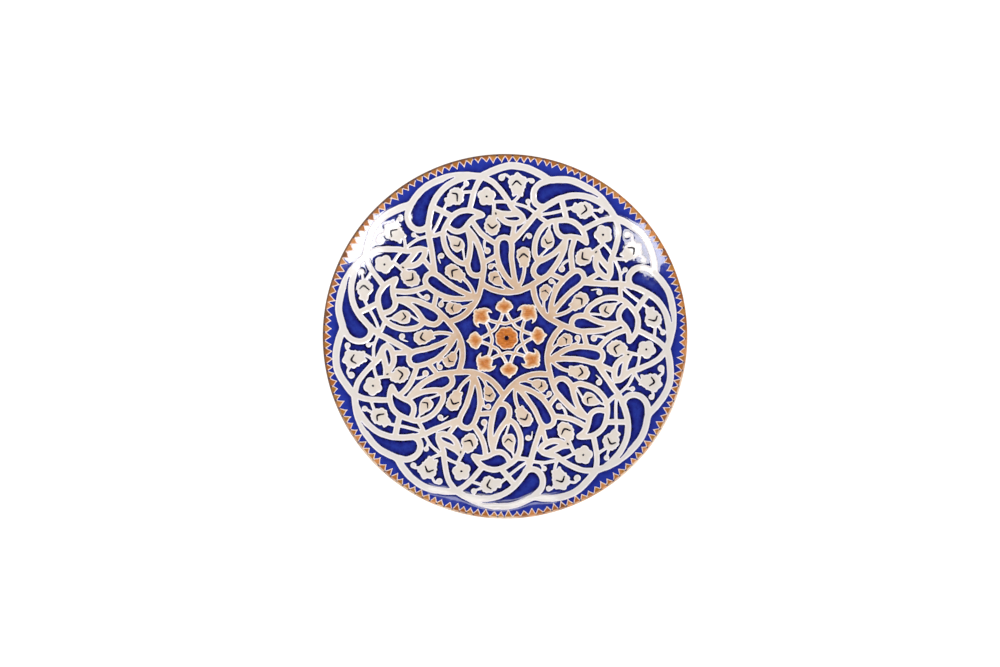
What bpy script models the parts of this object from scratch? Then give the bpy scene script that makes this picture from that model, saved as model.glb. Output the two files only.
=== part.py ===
"""A hand painted ceramic plate: a thrown dish on a foot ring, with a blue glazed face, raised ivory line
work in seven sectors, an eight-pointed star medallion and a sawtooth enamel band round the lip.

Metres, +Z up. The origin is the middle of the foot ring's standing face, and the plate lies face up on it.
The design is drawn in millimetres on the plate's plan, with y towards the top of the plate.
"""

import math

import bmesh
import bpy
from mathutils import Matrix, Vector

MM = 0.001

# Driving dimensions, in millimetres.
PLATE_RADIUS = 150.0
PLATE_HEIGHT = 35.0
FOOT_HEIGHT = 7.0
FOOT_OUTER = 88.0
FOOT_INNER = 76.5
FOOT_STANDING = (79.0, 84.0)  # the flat face that the plate stands on
BODY_UNDERSIDE = 7.3
WELL_FLOOR = 13.2  # the clay at the middle of the face
WELL_RADIUS = 88.0  # where the face starts to turn up
FLAT_RADIUS = 60.0  # a step in the nearly flat middle of the face
GROUND_RADIUS = 146.6  # where the blue glaze ends, under the rim's band
WELL_DISH = 1.4  # how much the whole face is dished
WALL_POWER = 2.1
# Radius and height of points down the clay's outer side.
BACK = [(148.7, 30.6), (143.0, 26.6), (134.0, 20.9), (123.0, 15.2), (110.0, 10.6), (98.0, 8.1), (91.0, 7.3)]
LIP = [(149.3, 32.6), (149.5, 32.0), (149.2, 31.3)]
LIP_TURN = 148.4  # where the face rolls over into the lip
GAP = 0.3
GLAZE = 0.4
RELIEF = 0.6
WALL_RISE = PLATE_HEIGHT - WELL_FLOOR - WELL_DISH - 2 * GAP - GLAZE - RELIEF
TURNED_SEGMENTS = 64

SECTORS = 7
TEETH = 146
BAND_ROOT = 146.2  # radius of the roots between the teeth
BAND_TIP = 142.6
BORDER_REACH = (133.6, 138.4)  # radius of the band's middle between lobes and at their tops
BORDER_WIDTH = 5.6
ARCADE_REACH = (46.5, 38.5)
ARCADE_WIDTH = 5.0
STAR_CENTRE = (0.9, -1.0)
STAR_TURN = 4.3  # degrees, anticlockwise
STAR_RADIUS = 27.0
STAR_LINE = 2.7
STAR_END = 20.0

IVORY = (0.80, 0.75, 0.64)
BLUE = (0.025, 0.035, 0.28)
ORANGE = (0.58, 0.24, 0.07)
CLAY = (0.62, 0.42, 0.28)
WHITE_GLAZE = (0.78, 0.74, 0.66)
DARK = (0.02, 0.01, 0.02)


def face_height(radius):
    """Height of the clay's upper face at a radius."""
    wall = max(0.0, (radius - WELL_RADIUS) / (PLATE_RADIUS - WELL_RADIUS)) ** WALL_POWER
    return WELL_FLOOR + WELL_DISH * (radius / PLATE_RADIUS) ** 2 + WALL_RISE * wall


def clear_scene():
    for obj in list(bpy.data.objects):
        bpy.data.objects.remove(obj, do_unlink=True)


def new_collection(name):
    collection = bpy.data.collections.new(name)
    bpy.context.scene.collection.children.link(collection)
    return collection


def new_material(name, colour, roughness):
    material = bpy.data.materials.new(name)
    material.use_nodes = True
    shader = material.node_tree.nodes["Principled BSDF"]
    shader.inputs["Base Color"].default_value = (*colour, 1.0)
    shader.inputs["Roughness"].default_value = roughness
    shader.inputs["Metallic"].default_value = 0.0
    return material


def new_object(name, data, material, collection):
    obj = bpy.data.objects.new(name, data)
    data.materials.append(material)
    collection.objects.link(obj)
    return obj


def turned(name, profile, material, collection):
    """A solid turned round the Z axis. The profile runs down the outer side and back up the inner side."""
    closed = profile[0][0] > 0
    mesh = bpy.data.meshes.new(name)
    verts = [(radius * MM, 0.0, height * MM) for radius, height in profile]
    edges = [(i, i + 1) for i in range(len(verts) - 1)]
    if closed:
        edges.append((len(verts) - 1, 0))
    mesh.from_pydata(verts, edges, [])
    obj = new_object(name, mesh, material, collection)
    screw = obj.modifiers.new("Turn", "SCREW")
    screw.axis = "Z"
    screw.steps = TURNED_SEGMENTS
    screw.render_steps = TURNED_SEGMENTS
    screw.use_merge_vertices = True
    screw.merge_threshold = 0.00001
    screw.use_smooth_shade = True
    return obj


def radii(start, end, count):
    return [start + (end - start) * i / (count - 1) for i in range(count)]


def back_profile(offset):
    """The clay's outer side from the lip down to the foot, moved outwards by offset."""
    moved = []
    for i, (radius, height) in enumerate(BACK):
        before = BACK[max(i - 1, 0)]
        after = BACK[min(i + 1, len(BACK) - 1)]
        along = Vector((after[0] - before[0], after[1] - before[1])).normalized()
        moved.append((radius - along.y * offset, height + along.x * offset))
    return moved


def clay_body(collection, material):
    under = back_profile(0.0) + [(0.0, BODY_UNDERSIDE)]
    face = [(r, face_height(r)) for r in [0.0, FLAT_RADIUS] + radii(WELL_RADIUS, 141.0, 7) + [LIP_TURN]]
    return turned("clay_body", face + LIP + under, material, collection)


def foot_ring(collection, material):
    low, high = FOOT_STANDING
    profile = [
        (FOOT_OUTER, FOOT_HEIGHT),
        (FOOT_OUTER - 1.2, 2.2),
        (high, 0.0),
        (low, 0.0),
        (FOOT_INNER + 1.4, 1.0),
        (FOOT_INNER, FOOT_HEIGHT),
    ]
    return turned("foot_ring", profile, material, collection)


def cobalt_ground(collection, material):
    steps = [0.0, FLAT_RADIUS] + radii(WELL_RADIUS, GROUND_RADIUS, 7)
    low = [(r, face_height(r) + GAP) for r in steps]
    high = [(r, face_height(r) + GAP + GLAZE) for r in steps]
    return turned("cobalt_ground", high + low[::-1], material, collection)


def back_glaze(collection, material):
    outside = back_profile(GAP + GLAZE)
    inside = back_profile(GAP)
    return turned("back_glaze", outside + inside[::-1], material, collection)


def recess_glaze(collection, material):
    top = BODY_UNDERSIDE - GAP
    edge = FOOT_INNER - 0.8
    profile = [(0.0, top), (edge, top), (edge, top - GLAZE), (0.0, top - GLAZE)]
    return turned("recess_glaze", profile, material, collection)


def plan_point(radius, clockwise):
    """A point of the plan from its radius and its angle in radians, clockwise from the top of the plate."""
    return Vector((radius * math.sin(clockwise), radius * math.cos(clockwise)))


def raised_band(name, outer, inner, material, collection):
    """A band of relief between two closed outlines of the same number of points, laid on the glazed face."""
    bm = bmesh.new()
    base = GAP + GLAZE + GAP
    loops = []
    for outline, lift in ((outer, 0), (outer, RELIEF), (inner, RELIEF), (inner, 0)):
        loops.append(
            [bm.verts.new(Vector((p.x, p.y, face_height(p.length) + base + lift)) * MM) for p in outline]
        )
    count = len(outer)
    for first, second in zip(loops, loops[1:] + loops[:1]):
        for i in range(count):
            j = (i + 1) % count
            bm.faces.new((first[i], first[j], second[j], second[i]))
    bmesh.ops.recalc_face_normals(bm, faces=bm.faces[:])
    mesh = bpy.data.meshes.new(name)
    bm.to_mesh(mesh)
    bm.free()
    return new_object(name, mesh, material, collection)


def rim_sawtooth(collection, material):
    outer = []
    inner = []
    for i in range(2 * TEETH):
        angle = math.pi * i / TEETH
        outer.append(plan_point(PLATE_RADIUS, angle))
        inner.append(plan_point(BAND_TIP if i % 2 else BAND_ROOT, angle))
    return raised_band("rim_sawtooth", outer, inner, material, collection)


def lobed_band(name, spans, low, high, width, sharpness, stations, material, collection):
    """A closed band of arches. Each span is the degrees at which an arch starts and ends, in one sector."""
    outer = []
    inner = []
    for sector in range(SECTORS):
        turn = 2 * math.pi * sector / SECTORS
        for start, end in spans:
            for i in range(stations):
                share = i / stations
                angle = turn + math.radians(start + (end - start) * share)
                middle = low + (high - low) * math.sin(math.pi * share) ** sharpness
                outer.append(plan_point(middle + width / 2, angle))
                inner.append(plan_point(middle - width / 2, angle))
    return raised_band(name, outer, inner, material, collection)


def teardrop(fat_end, tip, half_width, shrink, stations=16):
    """A teardrop's outline. Shrink moves it inwards, more at the tip than at the fat end."""
    fat_end = Vector(fat_end)
    tip = Vector(tip)
    along = (tip - fat_end).normalized()
    across = Vector((-along.y, along.x))
    low = fat_end + along * shrink
    high = tip - along * shrink * 2.2
    half_length = (high - low).length / 2
    middle = (low + high) / 2
    points = []
    for i in range(stations):
        t = 2 * math.pi * (i + 0.5) / stations
        bulge = math.sin(t) * abs(math.sin(t / 2)) ** 1.1 * 1.12
        points.append(middle + along * half_length * math.cos(t) + across * (half_width - shrink) * bulge)
    return points


# Each teardrop: its fat end and its tip on the plan of the first sector, half its width, its band's width.
TEARDROPS = {
    "big_teardrop": ((26.2, 114.9), (75.0, 112.3), 6.4, 3.6),
    "petal": ((29.5, 64.0), (38.5, 95.5), 10.4, 3.6),
    "leaf": ((44.6, 91.5), (67.0, 76.8), 6.6, 3.4),
    "long_teardrop": ((-1.8, 83.0), (7.2, 44.5), 7.0, 3.4),
    "small_teardrop": ((24.5, 50.5), (44.5, 66.5), 5.8, 3.2),
}


def teardrops(collection, material):
    for kind, (fat_end, tip, half_width, band) in TEARDROPS.items():
        outer = teardrop(fat_end, tip, half_width, 0.0)
        inner = teardrop(fat_end, tip, half_width, band)
        for sector in range(SECTORS):
            turn = Matrix.Rotation(-2 * math.pi * sector / SECTORS, 2)
            raised_band(
                f"{kind}_{sector + 1}",
                [turn @ p for p in outer],
                [turn @ p for p in inner],
                material,
                collection,
            )


def flat_outline(name, outlines, material, collection):
    """A flat piece of relief in the well from closed outlines, of which a second one is a hole."""
    curve = bpy.data.curves.new(name, "CURVE")
    curve.dimensions = "2D"
    curve.fill_mode = "BOTH"
    curve.extrude = RELIEF * MM / 2
    for outline in outlines:
        spline = curve.splines.new("POLY")
        spline.points.add(len(outline) - 1)
        for point, (x, y) in zip(spline.points, outline):
            point.co = (x * MM, y * MM, 0.0, 1.0)
        spline.use_cyclic_u = True
    return new_object(name, curve, material, collection)


def relief_middle(radius):
    return face_height(radius) + GAP + GLAZE + GAP + RELIEF / 2


def place_on_star(obj, degrees, radius=0.0):
    """Puts a flat piece at a radius from the star's centre, turned clockwise from the top of the star."""
    angle = math.radians(degrees - STAR_TURN)
    centre = Vector(STAR_CENTRE) + plan_point(radius, angle)
    obj.location = Vector((centre.x, centre.y, relief_middle(STAR_RADIUS + 9.0))) * MM
    obj.rotation_euler = (0.0, 0.0, -angle)


def mirrored(half):
    """A whole outline from its right half, which runs from the top down to the bottom."""
    return half + [(-x, y) for x, y in reversed(half) if x > 0]


POINTED_PALMETTE = [(0, 13.6), (2.8, 10.3), (6.2, 9.2), (7.3, 6.0), (5.6, 2.9), (2.8, 2.2), (1.6, 0.2)]
HOOKED_PALMETTE = [
    (0, 15.0), (3.6, 14.0), (4.8, 11.2), (8.3, 9.6), (10.4, 6.0), (9.9, 3.8), (7.4, 5.8), (4.9, 5.2),
    (2.8, 2.2), (1.6, 0.2),
]
PALMETTE_BASE = 20.6


def palmettes(collection, material):
    for i in range(8):
        half = HOOKED_PALMETTE if i % 2 else POINTED_PALMETTE
        obj = flat_outline(f"palmette_{i + 1}", [mirrored(half)], material, collection)
        place_on_star(obj, 45.0 * i, PALMETTE_BASE)


def eight_point_star(collection, bars, material):
    """Eight crossing bars, each a chord of the circle through the star's points, made one by a Boolean union."""
    inner = STAR_RADIUS * math.cos(3 * math.pi / 8)
    length = 2 * math.sqrt(STAR_END**2 - (inner + STAR_LINE / 2) ** 2)
    made = []
    for i in range(8):
        bpy.ops.mesh.primitive_cube_add(size=1.0)
        bar = bpy.context.active_object
        for owner in list(bar.users_collection):
            owner.objects.unlink(bar)
        bar.data.transform(Matrix.Diagonal((length * MM, STAR_LINE * MM, RELIEF * MM, 1.0)))
        place_on_star(bar, 45.0 * i, inner)
        made.append(bar)
    star = made[0]
    star.name = "eight_point_star"
    star.data.materials.append(material)
    collection.objects.link(star)
    for bar in made[1:]:
        bar.name = "star_bar"
        bar.hide_render = True
        bar.display_type = "WIRE"
        bars.objects.link(bar)
    union = star.modifiers.new("Bars", "BOOLEAN")
    union.operation = "UNION"
    union.operand_type = "COLLECTION"
    union.collection = bars
    return star


def circle(radius, count):
    return [tuple(plan_point(radius, 2 * math.pi * i / count)) for i in range(count)]


def rosette(collection, petals, dark):
    outline = []
    for i in range(48):
        angle = 2 * math.pi * i / 48
        outline.append(tuple(plan_point(8.6 + 0.7 * abs(math.cos(4 * angle)), angle)))
    ring = flat_outline("rosette", [outline, circle(2.0, 16)], petals, collection)
    eye = flat_outline("rosette_eye", [circle(1.6, 16)], dark, collection)
    place_on_star(ring, 22.5)
    place_on_star(eye, 0.0)


def main():
    clear_scene()
    plate = new_collection("hand_painted_plate")
    bars = new_collection("star_bars")
    ivory = new_material("ivory_relief", IVORY, 0.25)
    blue = new_material("cobalt_glaze", BLUE, 0.12)
    orange = new_material("orange_enamel", ORANGE, 0.3)
    clay = new_material("fired_clay", CLAY, 0.85)
    white = new_material("off_white_glaze", WHITE_GLAZE, 0.2)
    dark = new_material("dark_enamel", DARK, 0.3)
    clay_body(plate, clay)
    foot_ring(plate, clay)
    cobalt_ground(plate, blue)
    back_glaze(plate, white)
    recess_glaze(plate, white)
    rim_sawtooth(plate, orange)
    border_spans = ((-8.4, 14.9), (14.9, -8.4 + 360 / SECTORS))
    lobed_band("scallop_border", border_spans, *BORDER_REACH, BORDER_WIDTH, 0.6, 7, ivory, plate)
    arcade_spans = ((-23.2, -23.2 + 360 / SECTORS),)
    lobed_band("centre_arcade", arcade_spans, *ARCADE_REACH, ARCADE_WIDTH, 0.9, 10, ivory, plate)
    teardrops(plate, ivory)
    eight_point_star(plate, bars, ivory)
    palmettes(plate, orange)
    rosette(plate, orange, dark)


main()
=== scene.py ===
"""The looks of a hand painted ceramic plate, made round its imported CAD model.

The face's design is drawn on the plate's plan in millimetres, with y towards the top of the design. Lines,
balls and closed outlines are turned into a field that says how far each point of the plan lies outside the
raised enamel. The enamel and the glaze between it are then cut out of a fine grid along that field's zero
line, and carry the distance to that line, from which the materials take their edges.
"""

import math

import bpy
import numpy as np
from mathutils import Matrix, Vector


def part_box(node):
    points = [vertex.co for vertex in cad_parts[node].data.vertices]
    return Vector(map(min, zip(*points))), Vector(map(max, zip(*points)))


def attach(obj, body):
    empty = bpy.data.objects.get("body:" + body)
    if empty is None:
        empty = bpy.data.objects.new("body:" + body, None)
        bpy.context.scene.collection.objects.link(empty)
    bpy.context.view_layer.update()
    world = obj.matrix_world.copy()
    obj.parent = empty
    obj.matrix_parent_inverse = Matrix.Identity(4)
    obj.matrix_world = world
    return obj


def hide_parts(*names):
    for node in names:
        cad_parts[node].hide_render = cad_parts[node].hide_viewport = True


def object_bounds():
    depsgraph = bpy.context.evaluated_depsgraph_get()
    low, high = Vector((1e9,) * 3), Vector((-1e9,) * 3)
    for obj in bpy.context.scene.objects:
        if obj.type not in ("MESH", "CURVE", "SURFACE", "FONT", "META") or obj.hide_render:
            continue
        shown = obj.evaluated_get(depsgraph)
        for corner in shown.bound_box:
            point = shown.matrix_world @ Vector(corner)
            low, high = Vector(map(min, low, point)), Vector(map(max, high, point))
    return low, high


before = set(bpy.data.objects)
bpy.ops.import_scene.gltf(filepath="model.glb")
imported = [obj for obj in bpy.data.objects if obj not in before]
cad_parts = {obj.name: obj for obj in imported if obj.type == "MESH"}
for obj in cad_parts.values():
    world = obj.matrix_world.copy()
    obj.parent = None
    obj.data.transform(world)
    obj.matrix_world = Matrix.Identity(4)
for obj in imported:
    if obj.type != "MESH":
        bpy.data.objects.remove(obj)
cad_low, cad_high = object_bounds()

MM = 0.001

# Sizes in millimetres. The first ones come from the CAD model.
PLATE_RADIUS = (cad_high.x - cad_low.x) / 2 / MM
PLATE_HEIGHT = (cad_high.z - cad_low.z) / MM
WELL_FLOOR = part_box("cobalt_ground")[0].z / MM - 0.3  # the clay at the middle of the face
RELIEF_TOP = 1.0  # from the clay's face at the lip to the CAD model's top
WELL_RADIUS = 88.0
WELL_DISH = 1.4
WALL_POWER = 2.1
WALL_RISE = PLATE_HEIGHT - WELL_FLOOR - WELL_DISH - RELIEF_TOP

GLAZE_TOP = 0.7  # the blue glaze's surface above the clay
RELIEF = 0.5  # the enamel's height above the blue glaze
EDGE_STEP = 0.12  # the enamel's height at its very edge
SHOULDER = 1.0  # how far in from its edge the enamel reaches its full height
UNDERLAP = 0.35  # how far the enamel sinks into the glaze, and the glaze runs in under the enamel

SECTORS = 7
SECTOR = 2 * math.pi / SECTORS
PITCH = 0.5  # of the face's grid
SECTOR_PITCH = 0.3  # of the grid that the first sector is drawn on
FINE_PITCH = 0.28  # of the medallion's grids
MARK_PITCH = 0.2  # of the brush marks' grids
FIELD_REACH = 6.0  # how far from a shape its distance is worked out
FAR_AWAY = 1e6
CROSSING_MARGIN = 0.03  # the least share of a grid cell's side between a crossing and a corner

MEDALLION_REACH = 30.0  # the sectors' line work ends outside this radius
LINE_SHRINK = 0.11  # taken off both edges of the line work
SWAY = 0.16  # how far the painter's hand strays
SWAY_LENGTH = 34
TAIL_WIDTH = 2.3  # of a curl's tail where it leaves the ball


def clay_height(radius):
    """Height of the clay's face, in millimetres."""
    wall = np.clip((radius - WELL_RADIUS) / (PLATE_RADIUS - WELL_RADIUS), 0, None) ** WALL_POWER
    return WELL_FLOOR + WELL_DISH * (radius / PLATE_RADIUS) ** 2 + WALL_RISE * wall


# The first sector's lines: width, then points. The pattern repeats seven times round the plate.
LINES = [
    (5.9, [(-19.5, 132), (-15, 134.3), (-10, 136.5), (0, 139.7), (8, 140.4), (18, 138.5), (28, 134.2),
           (34.5, 130)]),
    (5.7, [(34.5, 130), (38, 128.9), (44, 129.1), (51, 128.8), (57, 127.4), (63, 124.9), (68, 122.2),
           (73, 118.8), (80, 112.5), (86, 105), (91.3, 97.2)]),
    (4.9, [(-19.5, 132), (-11, 128), (-6.2, 123.5), (-2, 118.3), (2, 112.5), (5, 107.2), (9.5, 103.6),
           (13.3, 100.3), (14.8, 96.8)]),
    (4.8, [(-19.5, 131), (-23, 126), (-25.6, 120), (-27.6, 113), (-29.3, 106)]),
    (5.3, [(36, 128.5), (29, 126.3), (24.6, 122), (23, 116.5), (24.3, 111), (28.3, 107.6), (33, 107)]),
    (5.2, [(5.3, 79), (10, 84), (15.5, 90), (21, 96), (25.5, 101.3), (31, 106), (38, 110.3), (45, 113.6),
           (52, 115.6), (60, 116.2), (68, 114.8), (74, 112.3), (80, 108.8), (85, 105)]),
    (4.5, [(7.4, 92), (6.4, 87), (5.3, 81.5)]),
    (4.8, [(-28, 96), (-23.2, 89), (-18.6, 84), (-13, 80), (-8.5, 77.3)]),
    (4.8, [(-1, 82.3), (-5, 81), (-7.2, 77), (-7.3, 71), (-6.6, 65), (-4.8, 58.5), (-1, 51.5), (4, 45.5),
           (10, 40)]),
    (4.8, [(-1, 82.3), (2.8, 80.8), (4.9, 76), (4.8, 66), (5.6, 58), (7.3, 49), (10, 40.5)]),
    (5.2, [(50, 80.5), (48.2, 71.5), (44.2, 63), (39.5, 56.4), (35, 51), (30, 47.6), (24, 43.9),
           (18, 40.8), (12, 38.4), (6, 37.1), (0, 37), (-6, 37.9), (-12, 40), (-18.5, 43.5)]),
    (4.9, [(27, 63), (24.4, 68), (24.1, 74), (25, 80), (27.6, 86), (32, 91.3), (37, 94.6), (43, 96),
           (50, 96.3), (56, 94.8), (60.8, 91.3), (64.3, 86.6), (66.2, 81), (66.7, 77.6)]),
    (4.8, [(41.3, 95), (41.6, 89), (44, 84.5), (48.5, 82.3), (55, 82.4), (61, 81.4), (66.3, 77.8)]),
    (5.0, [(50, 80), (46, 74.6), (41, 69.6), (35, 65.8), (28, 62.6)]),
    (4.9, [(28, 62.6), (24.8, 59.3), (23, 54.6), (24.8, 50), (29.5, 47.5)]),
    (5.0, [(46.3, 113), (48, 106), (50, 98)]),
    (4.6, [(-18, 61.5), (-13, 64), (-7, 67.3)]),
    (3.8, [(25.5, 101.5), (29, 98), (33.5, 95)]),
    (2.8, [(26, 100.3), (33, 101.2), (39, 102.3), (47, 104.3)]),
    (2.4, [(14, 96.2), (17.5, 95.4)]),
]
# The knot, a closed line.
KNOT_WIDTH = 5.2
KNOT = [(-8, 103), (-3, 101.7), (4, 101.5), (10, 101.6), (13.4, 99.6), (14, 96.6), (11.3, 94.5), (6, 93.9),
        (1.2, 94.7), (-2.6, 97.2), (-5.5, 100.3)]
# Stems of the flowers and buds.
STEMS = [
    (2.8, [(50, 105.3), (57, 106.8)]),
    (2.8, [(-34, 119), (-26, 119.8)]),
    (2.8, [(-9, 111.2), (-3, 111.5), (3, 110.8)]),
    (3.3, [(-9.6, 110), (-9.6, 105), (-10, 99)]),
    (2.9, [(5, 110.3), (10, 109.3), (16, 107.6), (21, 104.8), (25.5, 101.5)]),
    (3.0, [(11, 116), (8.5, 113), (5.3, 110.3)]),
    (3.4, [(15.8, 57), (15.3, 52), (13.6, 46.5), (10.8, 41)]),
    (2.8, [(-3, 43), (0.5, 40.2), (4, 38.8)]),
    (2.2, [(36, 88), (36.3, 93.5)]),
    (2.2, [(35, 73), (31.5, 69.5), (27.5, 65)]),
]
# Curls: a ball's radius and centre, then its tail and the width at the tail's end.
CURLS = [
    (2.9, (-2.9, 131), [(-2, 132.9), (0.3, 133.2), (2.5, 132), (4.6, 130.1)], 2.6),
    (2.5, (22, 128.4), [(21.6, 129.7), (20, 129.6), (18.4, 128.9), (16.8, 128)], 2.6),
    (2.3, (18.7, 111.7), [(19, 109.8), (19.3, 107)], 2.6),
    (2.5, (19.6, 83.3), [(19.4, 84.9), (17.6, 84.7), (15.9, 82.8), (14.2, 79.8)], 1.1),
    (2.8, (-14.9, 71.2), [(-16.6, 72.6), (-17.4, 75), (-17.2, 79)], 2.6),
    (2.5, (-12.3, 58.2), [(-11.5, 59.5), (-9, 59.3), (-7, 57.4), (-5.5, 54.8)], 2.6),
    (2.5, (-32, 126.1), [(-33, 124.8), (-34.4, 123.2), (-36, 121.6)], 2.6),
]
# Flowers and buds, as closed outlines.
FLOWERS = [
    [(10.2, 135.5), (8.3, 134.5), (7.3, 133.1), (5.3, 132.9), (3.7, 131.6), (3.5, 129.9), (2.3, 128.5),
     (2.2, 126.4), (3.2, 125), (2.9, 123), (4.3, 121.9), (4.7, 120.2), (5.5, 118.6), (5.2, 116.7),
     (6.4, 115.3), (7.8, 115.9), (9.3, 116.7), (11, 116.5), (12.6, 115.9), (13.8, 115.4), (14.8, 116.7),
     (14.7, 118.7), (15.6, 120), (15.7, 121.7), (16.9, 122.9), (16.7, 124.7), (17.4, 126.3),
     (16.9, 128.2), (17.7, 129.9), (16.9, 131.7), (15.2, 132.2), (13.9, 132.9), (12.4, 134.3)],
    [(56.6, 110), (57.8, 110.8), (59, 110.3), (60, 109.5), (61.2, 110.6), (62.9, 111), (64.2, 110.6),
     (65.4, 111.4), (67.3, 110.9), (68.6, 110), (70.1, 109.6), (71, 108), (72.4, 107), (72.1, 105.1),
     (73, 103.4), (72.1, 101.7), (70.9, 100.8), (70.4, 99.2), (68.4, 98.6), (67.2, 97.2), (65.2, 96.7),
     (63.6, 97.4), (61.7, 97.3), (60.6, 98.8), (59.3, 99.9), (58.5, 101.8), (56.6, 102.4), (55, 103.5),
     (54, 105)],
    [(-11, 100.2), (-13, 100.9), (-14.6, 100), (-15.3, 98.4), (-16.7, 97.2), (-16.8, 95), (-18, 93.4),
     (-17.6, 91.4), (-18, 89.6), (-16.6, 88), (-16.3, 86.2), (-14.6, 85.6), (-13, 84), (-11, 83.1),
     (-8.7, 83.8), (-7, 84.2), (-6.3, 85.9), (-5, 87.4), (-5, 89.3), (-4, 91.4), (-4.4, 93.5), (-5, 95.2),
     (-6.6, 96.4), (-7.2, 98.4), (-8.4, 100.3)],
    [(14.4, 74.7), (12.7, 74.2), (11.6, 72.9), (10, 72.3), (8.9, 70.4), (9.4, 68.9), (8.8, 67), (9, 65),
     (9.9, 63.4), (10.2, 61.8), (11.2, 60.3), (11.2, 58), (12.1, 56.4), (13.9, 57.2), (17.3, 57.1),
     (19.3, 57.9), (20, 59.6), (19.7, 61.1), (20.8, 62.7), (20.6, 64.6), (21.2, 66.5), (20.6, 68.3),
     (20.9, 70.2), (19.9, 71.4), (19.7, 73.1), (17.9, 73.6), (16.5, 74.3)],
    [(29, 78.5), (30, 82), (32.5, 85), (34, 88), (36, 89), (38, 86.5), (39.5, 83), (40.5, 79), (39.5, 75),
     (37.5, 73), (36, 72.5), (30, 74.5)],
    [(-12.6, 54), (-11, 54.1), (-9, 55), (-6.9, 54.5), (-5.4, 53.2), (-4.7, 51.4), (-3.5, 49.9),
     (-3.3, 48.2), (-2.1, 46.8), (-2.1, 44.7), (-2.8, 43.1), (-4.5, 42.2), (-7, 42.3), (-9.4, 43.2),
     (-11.2, 44.7), (-12.9, 45.7), (-14.1, 47.5), (-13.8, 49.2), (-14.4, 50.8), (-13.6, 52.4)],
]
BLOSSOM_CENTRE = (-15.5, 115.7)
BLOSSOM_RADIUS = 8.0
BLOSSOM_LOBES = 5
BLOSSOM_NOTCH = 1.5
# Narrow slits where two lines run together: width at the start and the end, then points.
SLITS = [
    (1.1, 0.4, [(68.5, 118.4), (72, 116.9), (76.2, 114.6)]),
]
# Dark brush marks on the flowers: width in the middle, then points.
MARKS = [
    (1.8, [(6, 125), (9.4, 128), (13.2, 125)]),
    (1.8, [(65.2, 108), (66.8, 104.4), (62.8, 101)]),
    (1.8, [(-14.6, 92.9), (-11, 89.8), (-7, 92.5)]),
    (1.8, [(11.5, 65.5), (13.5, 67.6), (15, 68.4), (16.4, 67.6), (18.4, 65.8)]),
    (1.5, [(32.6, 80.6), (34, 77.8), (35.2, 77.3), (38.3, 78.5)]),
    (1.8, [(-9.4, 49.7), (-8.7, 49.3)]),
    (1.0, [(-10.3, 46.6), (-9.2, 49.2), (-5.8, 50.1)]),
    (1.8, [(-15.9, 115.4), (-15.1, 115.6)]),
    (1.5, [(-8.1, 102.6), (-7.9, 101.2)]),
]

# The medallion. Its own frame has y towards the top of the star.
STAR_CENTRE = (0.9, -1.0)
STAR_TURN = math.radians(-4.3)
STAR_LINE = 3.0
STAR_OVERLAP = 0.15  # how far the star's lines run in under the palmettes
# Half of one line, from the foot at a palmette to the bend between two palmettes.
STAR_HALF = [(1.5, 21.2), (3.7, 16), (5.75, 13), (8.5, 8.5)]
POINTED_PALMETTE = [(0, 33.6), (1.3, 32.3), (2.2, 31.2), (3.9, 30.6), (5.6, 29.3), (6.3, 27.9), (7.1, 26.6),
                    (7.3, 25), (6.5, 23.8), (4.8, 22.6), (3.3, 21.4), (2.4, 20)]
HOOKED_PALMETTE = [(0, 35.4), (1.9, 34.7), (2.5, 33.5), (4, 33.2), (5.1, 31.8), (6.5, 31), (7.9, 29.2),
                   (8.8, 26.6), (8.7, 24.4), (7.9, 22.6), (7.1, 24.4), (5.9, 25.4), (4.9, 24.3), (4.2, 22.6),
                   (2.6, 20.8)]
ROSETTE_RADIUS = 9.75
ROSETTE_NOTCH = 0.85
ROSETTE_LOBES = 8
EYE_RADIUS = 1.9

# The rim's band: how many teeth it has, and its radii.
TEETH = 146
BAND_START = 140.6
TOOTH_TIP = 142.9
TOOTH_ROOT = 147.7
ROOT_LIMIT = TOOTH_ROOT + 0.6
POOL_RADIUS = TOOTH_ROOT + 0.7  # where the blue glaze ends, under the band
LIP_START = 148.3
BAND_MIDDLE = 146.0
BAND_THICKNESS = 0.5
RIM_STEPS = 14  # grid steps to a tooth
WHEEL_STEPS = 288  # steps round the pieces that are turned

# The camera: how much of the table it sees, the point it looks at, and the direction that it sees it from.
WIDTH_SEEN = 821.6
AIM = (-3.9, 2.1, 35.0)
CAMERA_LEAN = (0.033, -0.031, 1.0)
LENS = 200.0
SENSOR_WIDTH = 36.0

# Softboxes: bearing clockwise from the top of the design, angle off the axis, size in metres, and power.
SOFTBOXES = {
    "key_softbox": (124, 48, (0.44, 0.66), 10.5),
    "fill_softbox": (241, 49, (0.35, 0.64), 4.8),
    "top_softbox": (2, 52, (1.0, 0.16), 1.4),
}
LIGHT_DISTANCE = 1.6


def turned_points(points, angle):
    """The points turned clockwise by an angle."""
    p = np.asarray(points, float)
    c, s = math.cos(angle), math.sin(angle)
    return np.stack([p[:, 0] * c + p[:, 1] * s, p[:, 1] * c - p[:, 0] * s], 1)


def curve_through(points, closed=False, step=0.9):
    """A smooth curve through the points, as a chain of short steps."""
    p = np.asarray(points, float)
    if closed:
        p = np.vstack([p[-1:], p, p[:2]])
    else:
        p = np.vstack([2 * p[0] - p[1], p, 2 * p[-1] - p[-2]])
    out = []
    for a, b, c, d in zip(p[:-3], p[1:-2], p[2:-1], p[3:]):
        count = max(2, int(np.hypot(*(c - b)) / step) + 1)
        t = np.linspace(0, 1, count, endpoint=False)[:, None]
        bend = (2 * a - 5 * b + 4 * c - d) * t**2 + (3 * b - a - 3 * c + d) * t**3
        out.append(0.5 * (2 * b + (c - a) * t + bend))
    return np.vstack(out + [p[-2:-1]])


def turned_curve(points, angle, closed=False):
    return turned_points(curve_through(points, closed), angle)


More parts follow.
